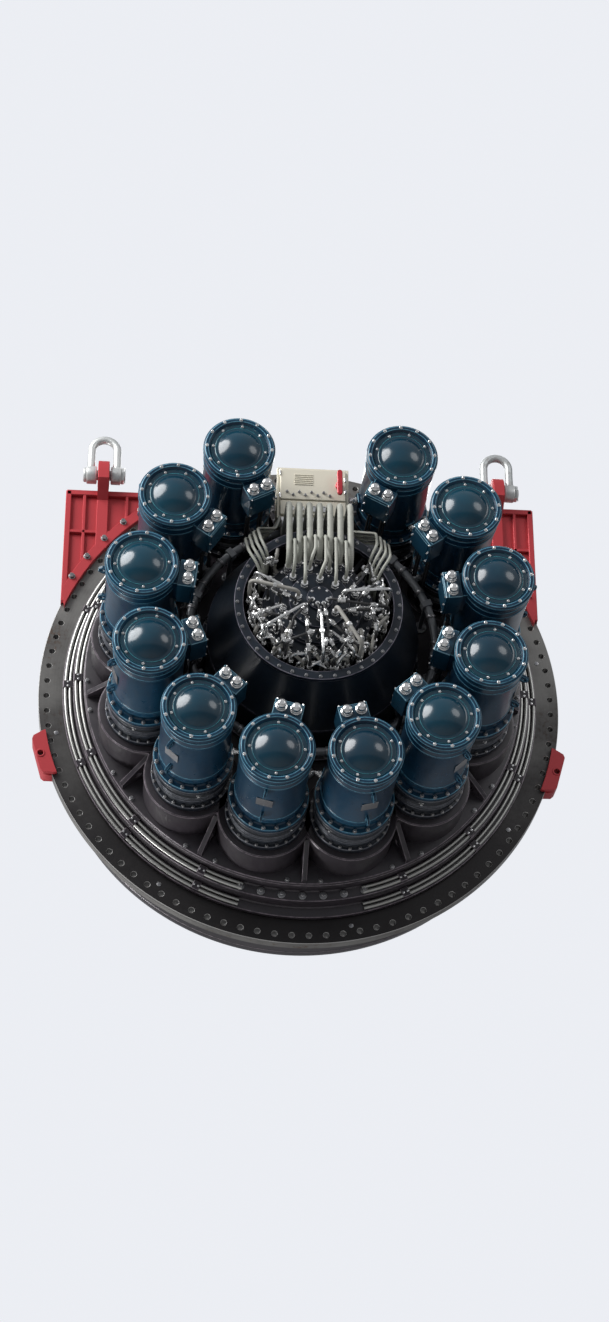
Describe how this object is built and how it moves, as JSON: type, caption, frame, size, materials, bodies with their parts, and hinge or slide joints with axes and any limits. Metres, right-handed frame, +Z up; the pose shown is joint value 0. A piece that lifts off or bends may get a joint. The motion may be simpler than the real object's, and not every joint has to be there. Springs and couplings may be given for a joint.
{
  "type": "tunnel boring machine main drive",
  "caption": "Main drive of a tunnel boring machine: a ring of electric motors on a flanged gear case, with a turning cutterhead ring, a centre rotary union and lifting shackles.",
  "frame": {"origin": "centre of the mounting flange's contact face, on the machine's axis", "axes": "+Y forward along the machine's axis, out of the cutterhead's contact face; +Z up, towards the empty gear unit place and the lifting shackles; motors to -Y"},
  "size_m": [4.8988, 3.056, 5.0498],
  "materials": {
    "housing_black": "satin",
    "machined_steel": "satin",
    "motor_blue": "semi-gloss",
    "terminal_box_blue": "semi-gloss",
    "cabinet_cream": "semi-gloss",
    "valve_red": "gloss",
    "bracket_red": "worn satin",
    "hose_light": "matt",
    "fitting_steel": "bright",
    "pipe_dark": "satin",
    "pipe_steel": "satin",
    "galvanised": "dull"
  },
  "bodies": {
    "housing": {"mounting_flange": "machined_steel", "front_casing": "housing_black", "outer_seal_ring": "machined_steel", "gear_case": "housing_black", "case_lobes": "housing_black", "bearing_outer_ring": "machined_steel", "drum_neck": "housing_black", "centre_drum": "housing_black", "drum_mouth": "housing_black", "drum_plate": "housing_black", "centre_bulkhead": "housing_black", "inner_seal_ring": "machined_steel", "gearboxes": "housing_black", "motor_01": "motor_blue", "motor_02": "motor_blue", "motor_03": "motor_blue", "motor_04": "motor_blue", "motor_05": "motor_blue", "motor_06": "motor_blue", "motor_07": "motor_blue", "motor_08": "motor_blue", "motor_09": "motor_blue", "motor_10": "motor_blue", "motor_11": "motor_blue", "motor_12": "motor_blue", "terminal_boxes": "terminal_box_blue", "motor_connectors": "fitting_steel", "blank_cover": "housing_black", "cabinet_stand": "housing_black", "grease_cabinet": "cabinet_cream", "cabinet_valve": "valve_red", "grease_hoses": "hose_light", "union_foot": "housing_black", "union_barrel": "housing_black", "rotary_union": "housing_black", "union_fittings": "fitting_steel", "cooling_ring": "pipe_dark", "cooling_posts": "pipe_dark", "cooling_branches": "pipe_dark", "grease_pipes": "pipe_steel", "lifting_bracket_left": "bracket_red", "lifting_bracket_right": "bracket_red", "tag_line_lugs": "bracket_red"},
    "rotor": {"rotor_ring": "machined_steel", "bearing_gear_ring": "machined_steel", "union_shaft": "machined_steel"},
    "shackle_left": {"shackle_bow_left": "galvanised", "shackle_pin_left": "galvanised"},
    "shackle_right": {"shackle_bow_right": "galvanised", "shackle_pin_right": "galvanised"}
  },
  "joints": [
    {"name": "cutterhead_spin", "type": "hinge", "parent": "housing", "child": "rotor", "pos_m": [0, 0, 0], "axis": [0, 1, 0], "continuous": true},
    {"name": "shackle_left_swing", "type": "hinge", "parent": "housing", "child": "shackle_left", "pos_m": [-1.89, -0.23, 2.22], "axis": [1, 0, 0], "range_deg": [-100, 150]},
    {"name": "shackle_right_swing", "type": "hinge", "parent": "housing", "child": "shackle_right", "pos_m": [1.89, -0.23, 2.22], "axis": [1, 0, 0], "range_deg": [-100, 150]}
  ]
}
